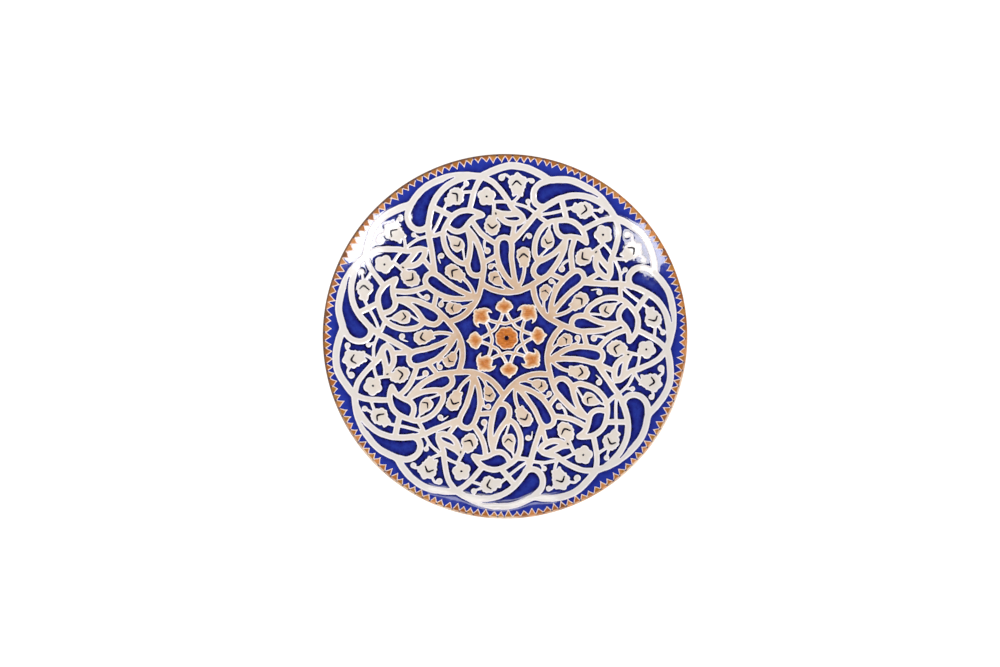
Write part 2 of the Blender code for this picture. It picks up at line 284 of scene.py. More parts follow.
def mirrored(half):
    """A closed outline from its right half, which runs from its top to its bottom."""
    return half + [(-x, y) for x, y in half[::-1] if x > 0]


def lobed(centre, radius, lobes, notch):
    """A closed outline with round lobes."""
    t = np.linspace(0, 2 * math.pi, 96, endpoint=False)
    r = radius - notch * (1 - np.abs(np.cos(lobes * t / 2)))
    return np.stack([centre[0] + r * np.sin(t), centre[1] + r * np.cos(t)], 1)


class Field:
    """How far each point of a grid on the plan lies outside the shapes drawn so far, below zero inside."""

    def __init__(self, low, high, pitch):
        self.xs = np.arange(low[0], high[0] + pitch, pitch)
        self.ys = np.arange(low[1], high[1] + pitch, pitch)
        self.pitch = pitch
        self.far = np.full((len(self.ys), len(self.xs)), FIELD_REACH)

    def combine(self, points, reach, choose, distance):
        """Joins a shape's distance into the field, as far as a reach from the shape's points."""
        low, high = points.min(0) - reach, points.max(0) + reach
        i0, i1 = np.searchsorted(self.xs, [low[0], high[0]])
        j0, j1 = np.searchsorted(self.ys, [low[1], high[1]])
        near = self.far[j0:j1, i0:i1]
        if near.size:
            choose(near, distance(*np.meshgrid(self.xs[i0:i1], self.ys[j0:j1])), out=near)

    def add_line(self, path, width, end_width=None, cut=False):
        """Adds or cuts away a line with round ends, whose width may run from one value to another."""
        half = np.linspace(width, width if end_width is None else end_width, len(path)) / 2
        choose, sign = (np.maximum, -1) if cut else (np.minimum, 1)
        reach = half.max() + FIELD_REACH
        self.combine(path, reach, choose, lambda x, y: sign * distance_to_chain(x, y, path, half))

    def add_outline(self, outline):
        """Adds a closed outline, filled."""
        closed = np.vstack([outline, outline[:1]])

        def distance(x, y):
            away = distance_to_chain(x, y, closed, np.zeros(len(closed)))
            return np.where(inside_outline(x, y, outline), -away, away)

        self.combine(outline, FIELD_REACH, np.minimum, distance)

    def at(self, x, y):
        """The field at any points, read between the grid's points."""
        u = np.clip((x - self.xs[0]) / self.pitch, 0, len(self.xs) - 1.001)
        v = np.clip((y - self.ys[0]) / self.pitch, 0, len(self.ys) - 1.001)
        i, j = u.astype(int), v.astype(int)
        a, b = u - i, v - j
        f = self.far
        low = f[j, i] * (1 - a) + f[j, i + 1] * a
        high = f[j + 1, i] * (1 - a) + f[j + 1, i + 1] * a
        return low * (1 - b) + high * b


def distance_to_chain(x, y, path, half):
    """Distance outside a chain of straight steps with a half width at each point."""
    best = np.full(x.shape, FAR_AWAY)
    for a, b, wa, wb in zip(path[:-1], path[1:], half[:-1], half[1:]):
        d = b - a
        t = np.clip(((x - a[0]) * d[0] + (y - a[1]) * d[1]) / max(d @ d, 1e-12), 0, 1)
        away = np.hypot(x - a[0] - t * d[0], y - a[1] - t * d[1]) - (wa + (wb - wa) * t)
        np.minimum(best, away, out=best)
    return best


def inside_outline(x, y, outline):
    """Whether each point lies inside a closed outline, by counting the sides that it sees to its right."""
    inside = np.zeros(x.shape, bool)
    for a, b in zip(outline, np.roll(outline, -1, 0)):
        if a[1] != b[1]:
            crosses = (a[1] > y) != (b[1] > y)
            inside ^= crosses & (x < (b[0] - a[0]) * (y - a[1]) / (b[1] - a[1]) + a[0])
    return inside


def draw_sector():
    """The field of the line work in one sector, with the ends that reach in from its neighbours."""
    field = Field((-70, 20), (70, 150), SECTOR_PITCH)
    turns = (-SECTOR, 0, SECTOR)
    for turn in turns:
        for width, points in LINES + STEMS:
            field.add_line(turned_curve(points, turn), width)
        field.add_line(turned_curve(KNOT, turn, True), KNOT_WIDTH)
        for radius, centre, tail, end in CURLS:
            field.add_line(turned_points([centre, centre], turn), 2 * radius)
            field.add_line(turned_curve(tail, turn), TAIL_WIDTH, end)
        for outline in FLOWERS:
            field.add_outline(turned_curve(outline, turn, True))
        blossom = lobed(BLOSSOM_CENTRE, BLOSSOM_RADIUS, BLOSSOM_LOBES, BLOSSOM_NOTCH)
        field.add_outline(turned_points(blossom, turn))
    for turn in turns:
        for start, end, points in SLITS:
            field.add_line(turned_curve(points, turn), start, end, cut=True)
    return field


def wander(x, y, size, reach, seed):
    """A smooth random number for each point of the plan, which doesn't repeat from sector to sector."""
    random = np.random.default_rng(seed)
    total = np.zeros(x.shape)
    for _ in range(6):
        direction = random.uniform(0, 2 * math.pi)
        length = reach * random.uniform(0.6, 1.5)
        phase = random.uniform(0, 2 * math.pi)
        along = (x * math.cos(direction) + y * math.sin(direction)) / length
        total += np.sin(2 * math.pi * along + phase)
    return total * size / math.sqrt(6)


def hand_shift(x, y):
    """How far the painter's hand strays at each point."""
    return wander(x, y, SWAY, SWAY_LENGTH, 1), wander(x, y, SWAY, SWAY_LENGTH, 2)


def line_work_at(x, y, sector_field):
    """The line work's field anywhere on the plate, a little unsteady."""
    shift = hand_shift(x, y)
    x2 = x + shift[0]
    y2 = y + shift[1]
    clockwise = np.arctan2(x2, y2)
    turn = np.round(clockwise / SECTOR) * SECTOR
    c, s = np.cos(turn), np.sin(turn)
    far = sector_field.at(x2 * c - y2 * s, x2 * s + y2 * c)
    far = np.where(np.hypot(x2, y2) < MEDALLION_REACH, FIELD_REACH, far)
    return far + LINE_SHRINK + wander(x, y, 0.08, 11, 3)


def star_frame(points):
    """Points of the medallion's own frame on the plate's plan."""
    return turned_points(points, STAR_TURN) + np.asarray(STAR_CENTRE)


def star_lines():
    """Eight bent lines, each of which joins a palmette to the next but one."""
    half = np.array(STAR_HALF, float)
    # The other half is the first one's reflection in the line between the two palmettes.
    line = curve_through(np.vstack([half, half[-2::-1, ::-1]]))
    return [star_frame(turned_points(line, i * math.pi / 4)) for i in range(8)]


def palmette(i):
    """The outline of one of the eight palmettes, which are pointed and hooked in turn."""
    half = HOOKED_PALMETTE if i % 2 else POINTED_PALMETTE
    outline = curve_through(mirrored(half), True, 0.5)[:-1]
    return star_frame(turned_points(outline, i * math.pi / 4))


def rosette_outline():
    """The rosette's outline, turned by half a lobe."""
    outline = lobed((0, 0), ROSETTE_RADIUS, ROSETTE_LOBES, ROSETTE_NOTCH)
    return star_frame(turned_points(outline, math.pi / 8))


def draw_star(field):
    for chain in star_lines():
        field.add_line(chain, STAR_LINE)


def crossings(far):
    """Which sides of the grid's cells cross the zero line, and where along them."""
    inside = far < 0
    across = inside[:, 1:] != inside[:, :-1]
    along = inside[1:] != inside[:-1]
    with np.errstate(divide="ignore", invalid="ignore"):
        share_across = far[:, :-1] / (far[:, :-1] - far[:, 1:])
        share_along = far[:-1] / (far[:-1] - far[1:])
    least, most = CROSSING_MARGIN, 1 - CROSSING_MARGIN
    return across, along, np.clip(share_across, least, most), np.clip(share_along, least, most)


def edge_distance(far, x, y):
    """Distance of every grid point to the field's zero line. Points pass the nearest crossing on."""
    across, along, share_across, share_along = crossings(far)
    rows, columns = far.shape
    near_x = np.full(far.shape, FAR_AWAY)
    near_y = np.full(far.shape, FAR_AWAY)

    def offer(where, px, py):
        """Points take the crossing offered to them where it is nearer than their own."""
        away = np.hypot(near_x[where] - x[where], near_y[where] - y[where])
        better = np.hypot(px - x[where], py - y[where]) < away
        near_x[where] = np.where(better, px, near_x[where])
        near_y[where] = np.where(better, py, near_y[where])

    def overlap(jump, count):
        """The rows or columns that have a neighbour so many steps back."""
        return slice(max(jump, 0), count + min(jump, 0))

    every, former, latter = slice(None), slice(None, -1), slice(1, None)
    for mask, share, first, second in (
        (across, share_across, (every, former), (every, latter)),
        (along, share_along, (former, every), (latter, every)),
    ):
        px = np.where(mask, x[first] * (1 - share) + x[second] * share, FAR_AWAY)
        py = np.where(mask, y[first] * (1 - share) + y[second] * share, FAR_AWAY)
        offer(first, px, py)
        offer(second, px, py)
    for jump in (16, 8, 4, 2, 1, 1):
        for dj in (-jump, 0, jump):
            for di in (-jump, 0, jump):
                if dj or di:
                    to = (overlap(dj, rows), overlap(di, columns))
                    by = (overlap(-dj, rows), overlap(-di, columns))
                    offer(to, near_x[by].copy(), near_y[by].copy())
    return np.hypot(near_x - x, near_y - y)


def round_cells(corner, across, along):
    """What stands at each cell's four corners and, between them, on its four sides."""
    return np.stack([
        corner[:-1, :-1], across[:-1], corner[:-1, 1:], along[:, 1:],
        corner[1:, 1:], across[1:], corner[1:, :-1], along[:, :-1],
    ], -1).reshape(-1, 8)


def cut_solid(name, far, tops, bottoms, values, keep=None, wrap=False):
    """A closed solid over the part of a grid where the field is below zero.

    tops and bottoms are the grid's points in millimetres, values are numbers that its points carry, keep
    says which cells belong to the piece, and wrap joins the grid's last column to its first.
    """
    rows, columns = far.shape
    if wrap:
        far = np.hstack([far, far[:, :1]])
    across, along, share_across, share_along = crossings(far)
    corner = np.arange(rows * columns).reshape(rows, columns)
    across_id = rows * columns + np.arange(across.size).reshape(across.shape)
    along_id = rows * columns + across.size + np.arange(along.shape[0] * columns).reshape(-1, columns)
    if wrap:
        corner = np.hstack([corner, corner[:, :1]])
        along_id = np.hstack([along_id, along_id[:, :1]])
    ids = round_cells(corner, across_id, along_id)
    used = round_cells(far < 0, across, along)
    chosen = used.any(1)
    if keep is not None:
        chosen &= keep.reshape(-1)
    ids, used = ids[chosen], used[chosen]
    loops = ids[used]
    sizes = used.sum(1)

    def spread(grid):
        """A grid's values at its corners and at its crossings, by their ids."""
        flat = grid.reshape(rows, columns, -1)
        wide = np.concatenate([flat, flat[:, :1]], 1) if wrap else flat
        t = share_across[..., None]
        first = wide[:, :-1] * (1 - t) + wide[:, 1:] * t
        t = share_along[:, :columns, None]
        second = flat[:-1] * (1 - t) + flat[1:] * t
        return np.concatenate([part.reshape(-1, flat.shape[2]) for part in (flat, first, second)])

    points, loops = np.unique(loops, return_inverse=True)
    top, bottom = spread(tops)[points], spread(bottoms)[points]
    carried = {key: spread(value)[points, 0] for key, value in values.items()}
    return closed_mesh(name, top, bottom, loops.reshape(-1), sizes, carried)


def closed_mesh(name, top, bottom, loops, sizes, carried):
    """A mesh of a sheet of faces, the same sheet turned over below it, and walls along its open sides."""
    count = len(top)
    starts = np.concatenate([[0], np.cumsum(sizes)[:-1]])
    after = np.arange(len(loops)) + 1
    after[starts + sizes - 1] = starts
    first, second = loops, loops[after]
    forward = first.astype(np.int64) * count + second
    backward = second.astype(np.int64) * count + first
    open_side = ~np.isin(forward, backward)
    a, b = first[open_side], second[open_side]
    walls = np.stack([b, a, a + count, b + count], 1).reshape(-1)
    face_of = np.repeat(np.arange(len(sizes)), sizes)
    within = np.arange(len(loops)) - starts[face_of]
    flipped = loops[starts[face_of] + sizes[face_of] - 1 - within] + count
    all_loops = np.concatenate([loops, flipped, walls])
    all_sizes = np.concatenate([sizes, sizes, np.full(len(a), 4)])
    mesh = bpy.data.meshes.new(name)
    mesh.vertices.add(2 * count)
    points = np.concatenate([top, bottom]) * MM
    mesh.vertices.foreach_set("co", points.reshape(-1).astype(np.float32))
    mesh.loops.add(len(all_loops))
    mesh.loops.foreach_set("vertex_index", all_loops.astype(np.int32))
    mesh.polygons.add(len(all_sizes))
    all_starts = np.concatenate([[0], np.cumsum(all_sizes)[:-1]]).astype(np.int32)
    mesh.polygons.foreach_set("loop_start", all_starts)
    smooth = np.zeros(len(all_sizes), bool)
    smooth[: len(sizes)] = True
    mesh.polygons.foreach_set("use_smooth", smooth)
    mesh.update(calc_edges=True)
    mesh.set_sharp_from_angle(angle=math.radians(55))
    for key, numbers in carried.items():
        layer = mesh.attributes.new(key, "FLOAT", "POINT")
        layer.data.foreach_set("value", np.concatenate([numbers, numbers]).astype(np.float32))
    return mesh


def link_object(data):
    """An object in the scene, with the name of its mesh, lamp or camera."""
    obj = bpy.data.objects.new(data.name, data)
    bpy.context.scene.collection.objects.link(obj)
    return obj


def dress(obj, material, replaced=()):
    """Gives an object its material, and lets it ride with the plate's one body."""
    obj.data.materials.append(material)
    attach(obj, "root")
    if replaced:
        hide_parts(*replaced)


def place(mesh, material, replaced):
    dress(link_object(mesh), material, replaced)


def smoothstep(t):
    """Runs from 0 to 1 without a bend at either end."""
    t = np.clip(t, 0, 1)
    return t * t * (3 - 2 * t)


def on_face(x, y, lift):
    """Points of the face at a height above the blue glaze."""
    return np.stack([x, y, clay_height(np.hypot(x, y)) + GLAZE_TOP + lift], -1)


def relief_over(depth, height=RELIEF, shoulder=SHOULDER):
    """The enamel's height from how far in from its edge a point lies."""
    return EDGE_STEP + (height - EDGE_STEP) * smoothstep(depth / shoulder) ** 0.8


# Materials.


def linear(srgb):
    """A colour's linear values from its display values."""
    return tuple(c / 12.92 if c <= 0.04045 else ((c + 0.055) / 1.055) ** 2.4 for c in srgb)


class Nodes:
    """A small helper for building the nodes of a material or of the world."""

    def __init__(self, owner, shader="Principled BSDF"):
        owner.use_nodes = True
        self.owner = owner
        self.tree = owner.node_tree
        self.shader = self.tree.nodes[shader]

    def add(self, kind, **settings):
        node = self.tree.nodes.new(kind)
        for key, value in settings.items():
            setattr(node, key, value)
        return node

    def link(self, source, target):
        self.tree.links.new(source, target)

    def feed(self, node, inputs):
        """Sets or links a node's inputs. Three numbers are a colour's display values."""
        for key, value in inputs.items():
            if isinstance(value, bpy.types.NodeSocket):
                self.link(value, node.inputs[key])
            else:
                colour = isinstance(value, tuple) and len(value) == 3
                node.inputs[key].default_value = (*linear(value), 1) if colour else value
        return node

    def number(self, attribute):
        return self.add("ShaderNodeAttribute", attribute_name=attribute).outputs["Fac"]

    def math(self, operation, *values):
        node = self.add("ShaderNodeMath", operation=operation)
        return self.feed(node, dict(enumerate(values))).outputs[0]

    def times(self, first, second):
        return self.math("MULTIPLY", first, second)

    def noise(self, scale, detail=3.0, roughness=0.5, vector=None):
        node = self.add("ShaderNodeTexNoise")
        self.feed(node, {"Scale": scale, "Detail": detail, "Roughness": roughness})
        self.link(vector or self.place(), node.inputs["Vector"])
        return node.outputs["Fac"]

    def place(self):
        return self.add("ShaderNodeTexCoord").outputs["Object"]

    def ramp(self, value, stops, convert=linear):
        """Colours along a value, each with its place."""
        node = self.add("ShaderNodeValToRGB")
        elements = node.color_ramp.elements
        while len(elements) < len(stops):
            elements.new(0.5)
        for element, (position, colour) in zip(elements, stops):
            element.position = position
            element.color = (*convert(colour), 1)
        self.link(value, node.inputs[0])
        return node.outputs["Color"]

    def span(self, value, low, high, to_low=0.0, to_high=1.0, smooth=True):
        """A value that runs from one number to another while the given value runs from low to high."""
        node = self.add("ShaderNodeMapRange", interpolation_type="SMOOTHSTEP" if smooth else "LINEAR")
        return self.feed(node, {0: value, 1: low, 2: high, 3: to_low, 4: to_high}).outputs[0]

    def mix(self, share, first, second):
        node = self.add("ShaderNodeMix", data_type="RGBA")
        return self.feed(node, {0: share, 6: first, 7: second}).outputs[2]

    def part(self, vector, axis):
        apart = self.add("ShaderNodeSeparateXYZ")
        self.link(vector, apart.inputs[0])
        return apart.outputs[axis]

    def radius(self):
        """Distance from the plate's axis, in millimetres."""
        squares = [self.math("POWER", self.part(self.place(), axis), 2.0) for axis in "XY"]
        return self.times(self.math("SQRT", self.math("ADD", *squares)), 1 / MM)

    def bump(self, height, strength, distance):
        node = self.add("ShaderNodeBump")
        self.feed(node, {"Height": height, "Strength": strength, "Distance": distance})
        return node.outputs["Normal"]

    def uneven(self, value, amount, *noise):
        """A value plus a noise that runs by the amount about zero."""
        centred = self.math("SUBTRACT", self.noise(*noise), 0.5)
        return self.math("ADD", value, self.times(centred, amount))

    def towards(self, *direction):
        """How far a point lies towards a direction, times the direction's length."""
        node = self.add("ShaderNodeVectorMath", operation="DOT_PRODUCT")
        self.link(self.place(), node.inputs[0])
        node.inputs[1].default_value = direction
        return node.outputs["Value"]

    def surface(self, colour, dull, more=None):
        """Fills in the shader. dull is a noise's scale and the roughness values that it runs between."""
        scale, low, high = dull
        roughness = self.span(self.noise(scale), 0.3, 0.7, low, high)
        self.feed(self.shader, {"Base Color": colour, "Roughness": roughness, **(more or {})})
        return self.owner


def material_nodes(name):
    return Nodes(bpy.data.materials.new(name))


GLASSY = {"Coat Weight": 1.0, "Coat IOR": 1.6, "Coat Roughness": 0.02}


def ivory_material(name, middle, inner_edge):
    """Ivory enamel with whiter edges. In the middle of the plate it is warmer, with a narrower edge."""
    n = material_nodes(name)
    radius = n.radius()
    warmth = n.uneven(radius, 26.0, 28)
    body = n.ramp(n.span(warmth, 0, 150, smooth=False), [
        (0.2, middle), (0.29, (0.83, 0.695, 0.57)), (0.42, (0.865, 0.767, 0.668)),
        (0.6, (0.88, 0.815, 0.745)), (0.78, (0.905, 0.87, 0.83)), (0.92, (0.91, 0.89, 0.87)),
    ])
    cloud = n.noise(120, 5, 0.6)
    body = n.mix(n.span(cloud, 0.35, 0.75, 0, 0.3), body, (0.93, 0.88, 0.84))
    edge = n.uneven(n.number("depth"), 0.8, 420)
    edge = n.math("DIVIDE", edge, n.span(radius, 45, 95, inner_edge, 1.0))
    colour = n.mix(n.span(edge, 0.55, 1.6, 1, 0), body, (0.96, 0.935, 0.95))
    grain = n.bump(n.noise(260, 4, 0.6), 0.2, 0.0005)
    return n.surface(colour, (300, 0.14, 0.26), {"Normal": grain, **GLASSY})


def blue_material():
    """Cobalt glaze that has pooled: clear blue where it is wide, nearly black where it is narrow."""
    n = material_nodes("cobalt_pool_glaze")
    depth = n.uneven(n.number("depth"), 0.8, 240, 3, 0.6)
    pool = n.ramp(n.span(depth, 0, 5, smooth=False), [
        (0.0, (0.02, 0.0, 0.08)), (0.15, (0.03, 0.0, 0.15)), (0.28, (0.05, 0.03, 0.30)),
        (0.42, (0.09, 0.09, 0.43)), (0.64, (0.12, 0.15, 0.51)), (1.0, (0.14, 0.20, 0.56)),
    ])
    streaks = n.noise(180, 7, 0.7)
    pool = n.mix(n.span(streaks, 0.38, 0.72, 0, 0.55), pool, (0.17, 0.25, 0.67))
    shade = n.span(n.noise(330, 4, 0.6), 0.48, 0.7, 0, 0.35)
    pool = n.mix(shade, pool, (0.07, 0.05, 0.36))
    pool = n.mix(n.span(n.radius(), 128, 146, 0, 0.5), pool, (0.17, 0.24, 0.70))
    grain = n.bump(n.noise(75, 3, 0.55), 0.14, 0.001)
    return n.surface(pool, (200, 0.05, 0.12), {"Normal": grain, **GLASSY})


def orange_material(name, reach, stops, streaks):
    """Orange enamel, deepest in the middle of the shape, inside an ivory edge."""
    n = material_nodes(name)
    brush = n.uneven(n.number("depth"), reach * 0.55, 330, 5, 0.65)
    colour = n.ramp(n.span(brush, 0, reach, smooth=False), stops)
    strokes = n.add("ShaderNodeMapping")
    strokes.inputs["Rotation"].default_value = (0, 0, math.radians(40))
    strokes.inputs["Scale"].default_value = (1, 4, 1)
    n.link(n.place(), strokes.inputs["Vector"])
    stroke = n.noise(220, 3, 0.6, strokes.outputs["Vector"])
    inward = n.span(n.number("depth"), 0.6, 1.6)
    streaked = n.times(n.span(stroke, 0.42, 0.6, 0, streaks), inward)
    colour = n.mix(streaked, colour, (0.58, 0.24, 0.05))
    grain = n.bump(n.noise(420, 4, 0.6), 0.3, 0.0005)
    coat = {"Coat Weight": 0.5, "Coat Roughness": 0.05}
    return n.surface(colour, (300, 0.18, 0.32), {"Normal": grain, **coat})


def plain_glaze(name, colour, second, roughness):
    """A glaze or a clay of one colour, mottled and lightly ringed by the wheel."""
    n = material_nodes(name)
    mottle = n.noise(110, 6, 0.65)
    body = n.mix(n.span(mottle, 0.35, 0.75), colour, second)
    specks = n.span(n.noise(1400, 1, 0.3), 0.74, 0.78)
    body = n.mix(n.times(specks, 0.55), body, (0.35, 0.25, 0.18))
    rings = n.math("SINE", n.times(n.radius(), 2.4))
    grain = n.math("ADD", n.times(rings, 0.35), n.noise(500, 4, 0.6))
    return n.surface(body, (260, roughness * 0.8, roughness * 1.2), {"Normal": n.bump(grain, 0.3, 0.0004)})


def dark_material():
    """Nearly black enamel, for the brush marks and the rosette's eye."""
    n = material_nodes("dark_brush_enamel")
    body = n.mix(n.noise(700, 3), (0.04, 0.0, 0.08), (0.12, 0.07, 0.16))
    return n.surface(body, (400, 0.2, 0.35))


# Pieces.


MOTIFS = ("big_teardrop", "petal", "leaf", "long_teardrop", "small_teardrop")


def make_face(ivory, blue):
    """The raised line work and the blue glaze, each in seven sectors that meet edge to edge."""
    reach = TOOTH_ROOT + 2
    ticks = np.arange(-reach, reach + PITCH, PITCH)
    x, y = np.meshgrid(ticks, ticks)
    far = line_work_at(x, y, draw_sector())
    # The sector that the middle of each cell lies in.
    middles = (ticks[:-1] + ticks[1:]) / 2
    sector = np.round(np.arctan2(middles, middles[:, None]) / SECTOR).astype(int) % SECTORS
    depth = edge_distance(far, x, y)
    tops = on_face(x, y, relief_over(depth))
    bottoms = on_face(x, y, -UNDERLAP)
    for k in range(SECTORS):
        mesh = cut_solid(f"linework_{k + 1}", far, tops, bottoms, {"depth": depth}, keep=sector == k)
        nodes = [f"{motif}_{k + 1}" for motif in MOTIFS] + ["scallop_border", "centre_arcade"]
        place(mesh, ivory, nodes)

    medallion = Field((x[0, 0], y[0, 0]), (x[0, -1], y[-1, 0]), PITCH)
    draw_star(medallion)
    for outline in [palmette(i) for i in range(8)] + [rosette_outline()]:
        medallion.add_outline(outline)
    all_far = np.minimum(far, medallion.far[: x.shape[0], : x.shape[1]])
    depth = np.where(all_far > 0, edge_distance(all_far, x, y), 0)
    pool = np.maximum(-all_far - UNDERLAP, np.hypot(x, y) - POOL_RADIUS)
    # The glaze climbs a little where it meets the enamel.
    climb = EDGE_STEP * 0.8 * (1 - smoothstep(depth / 1.6))
    tops = on_face(x, y, climb - 0.04)
    bottoms = on_face(x, y, -GLAZE_TOP + 0.1)
    for k in range(SECTORS):
        mesh = cut_solid(f"cobalt_glaze_{k + 1}", pool, tops, bottoms, {"depth": depth}, keep=sector == k)
        place(mesh, blue, ["cobalt_ground"])


def raised_shape(name, field, material, replaced, height=RELIEF, hole=None):
    """A raised piece of the medallion from its own fine field."""
    x, y = np.meshgrid(field.xs, field.ys)
    far = field.far if hole is None else np.maximum(field.far, -hole.far)
    tops = on_face(x, y, relief_over(edge_distance(far, x, y), height, 0.9))
    bottoms = on_face(x, y, -UNDERLAP)
    mesh = cut_solid(name, far, tops, bottoms, {"depth": edge_distance(field.far, x, y)})
    place(mesh, material, replaced)


def field_near(points, margin=1.0, pitch=FINE_PITCH):
    """An empty field round some points."""
    return Field(points.min(0) - margin, points.max(0) + margin, pitch)


def filled_field(outline):
    field = field_near(outline)
    field.add_outline(outline)
    return field


def spot_field(diameter):
    """A round spot in the middle of the rosette."""
    field = field_near(rosette_outline())
    field.add_line(star_frame([(0, 0), (0, 0.01)]), diameter)
    return field


def make_medallion(ivory, orange, rosette_orange, dark):
    """The star's lines, which end at the palmettes, the palmettes, and the rosette with its eye."""
    palmettes = [filled_field(palmette(i)) for i in range(8)]
    star = field_near(np.vstack(star_lines()), 3)
    draw_star(star)
    x, y = np.meshgrid(star.xs, star.ys)
    for hole in palmettes:
        near_x = np.abs(x - hole.xs.mean()) < np.ptp(hole.xs) / 2
        near_y = np.abs(y - hole.ys.mean()) < np.ptp(hole.ys) / 2
        star.far = np.where(near_x & near_y, np.maximum(star.far, -hole.at(x, y) - STAR_OVERLAP), star.far)
    raised_shape("star_lines", star, ivory, ["eight_point_star"], RELIEF * 0.9)
    for i, field in enumerate(palmettes):
        raised_shape(f"painted_palmette_{i + 1}", field, orange, [f"palmette_{i + 1}"])
    rosette = filled_field(rosette_outline())
    hole = spot_field(2 * EYE_RADIUS)
    raised_shape("painted_rosette", rosette, rosette_orange, ["rosette"], hole=hole)
    pupil = spot_field(2 * EYE_RADIUS - 0.1)
    raised_shape("rosette_pupil", pupil, dark, ["rosette_eye"], RELIEF * 0.5)


def make_marks(dark):
    """The small dark brush marks on the flowers, as one piece."""
    meshes = []
    for k in range(SECTORS):
        for i, (width, points) in enumerate(MARKS):
            path = turned_points(curve_through(points, step=0.4), k * SECTOR)
            path = path - np.concatenate(hand_shift(*path.mean(0)[:, None]))
            field = field_near(path, 1.5, MARK_PITCH)
            middle = len(path) // 2
            field.add_line(path[: middle + 1], width * 0.65, width)
            field.add_line(path[middle:], width, width * 0.6)
            x, y = np.meshgrid(field.xs, field.ys)
            depth = edge_distance(field.far, x, y)
            top = on_face(x, y, RELIEF + 0.02 + 0.1 * smoothstep(depth / 0.5))
            bottom = on_face(x, y, RELIEF - 0.12)
            meshes.append(cut_solid(f"mark_{k}_{i}", field.far, top, bottom, {"depth": depth}))
    objects = [link_object(mesh) for mesh in meshes]
    bpy.ops.object.select_all(action="DESELECT")
    for obj in objects:
        obj.select_set(True)
    joined = objects[0]
    bpy.context.view_layer.objects.active = joined
    bpy.ops.object.join()
    joined.name = "brush_marks"
    joined.data.name = "brush_marks"
    dress(joined, dark)


def lip_profile():
    """Radius and height along the band, from inside the teeth up the face, over the lip and down outside."""
    lift = GLAZE_TOP + 0.05
    face = [(r, clay_height(r) + lift) for r in np.arange(BAND_START, LIP_START, 0.4)]
    top = face[-1][1]
    lip = [(148.7, 0.28), (149.2, 0.42), (149.6, 0.3), (149.85, -0.05), (149.95, -0.6), (149.8, -1.3),
           (149.45, -2.0)]
    return np.array(face + [(radius, top + height) for radius, height in lip])


def tooth_edge(columns, random):
    """For each column the radius at which the band starts, the tooth there, and how far off its middle.

    The teeth are of uneven length and width.
    """
    middles = np.arange(TEETH) + 0.5 + random.uniform(-0.14, 0.14, TEETH)
    gaps = np.concatenate([middles[-1:] - TEETH, middles, middles[:1] + TEETH])
    gaps = (gaps[:-1] + gaps[1:]) / 2
    clock = np.arange(TEETH) / TEETH * 2 * math.pi
    tips = TOOTH_TIP + random.uniform(-1.1, 1.1, TEETH)
    # The band was painted wider at the upper left, and some gaps reach the lip.
    roots = TOOTH_ROOT - 0.4 * np.cos(clock - math.radians(305)) + random.uniform(-0.8, 0.6, TEETH)
    roots += (random.uniform(0, 1, TEETH) > 0.75) * random.uniform(0.6, 1.4, TEETH)
    roots = np.minimum(roots, ROOT_LIMIT)
    at = (np.arange(columns) + 0.5) / RIM_STEPS
    tooth = np.clip(np.searchsorted(gaps, at) - 1, 0, TEETH - 1)
    left = (middles[tooth] - at) / (middles[tooth] - gaps[tooth])
    right = (at - middles[tooth]) / (gaps[tooth + 1] - middles[tooth])
    aside = np.clip(np.maximum(left, right), 0, 1) ** random.uniform(0.65, 1.0, TEETH)[tooth]
    root = np.where(at < middles[tooth], roots[tooth], roots[(tooth + 1) % TEETH])
    jitter = random.normal(0, 0.16, columns // 2 + 1)
    ragged = np.interp(np.arange(columns), np.arange(0, columns + 2, 2), jitter)
    edge = tips[tooth] + (root - tips[tooth]) * np.clip(aside, 0.06, 1) + ragged * (1 - aside**4)
    return edge, tooth, aside


def make_rim(material):
    """The sawtooth band: a grid that follows the face's wall over the lip, cut along uneven teeth."""
    random = np.random.default_rng(7)
    profile = lip_profile()
    steps = np.hypot(*np.diff(profile, axis=0).T)
    along = np.concatenate([[0], np.cumsum(steps)])
    columns = TEETH * RIM_STEPS
    angle = np.arange(columns) * 2 * math.pi / columns
    top_row = int(np.argmax(profile[:, 0] >= LIP_START))
    edge, tooth, aside = tooth_edge(columns, random)
    start = np.interp(edge, profile[: top_row + 3, 0], along[: top_row + 3])
    shape = (len(profile), columns)
    down = np.broadcast_to(along[:, None], shape)
    far = (start - down) * 0.5
    depth = edge_distance(far, np.broadcast_to(angle * BAND_MIDDLE, shape), down)
    puff = 0.25 * smoothstep(depth / 1.0) * np.interp(down, [0, along[-1] * 0.7, along[-1]], [1, 1, 0])
    height = profile[:, 1:] + puff
    normal = np.gradient(profile, axis=0)
    normal = np.stack([-normal[:, 1], normal[:, 0]], 1) / np.hypot(*normal.T)[:, None]
    under = profile - normal * BAND_THICKNESS

    def ring(radius, height):
        return np.stack([radius * np.sin(angle), radius * np.cos(angle), np.broadcast_to(height, shape)], -1)

    tops = ring(profile[:, :1], height)
    bottoms = ring(under[:, :1], under[:, 1:])
    carried = {
        "depth": depth,
        "outward": down - along[top_row],
        "tone": np.broadcast_to(random.uniform(0, 1, TEETH)[tooth], shape),
        "aside": np.broadcast_to(aside, shape),
    }
    # Rows run outwards and columns clockwise, so the faces are turned over by reading the rows backwards.
    carried = {key: value[::-1] for key, value in carried.items()}
    mesh = cut_solid("rim_band", far[::-1], tops[::-1], bottoms[::-1], carried, wrap=True)
    place(mesh, material, ["rim_sawtooth"])


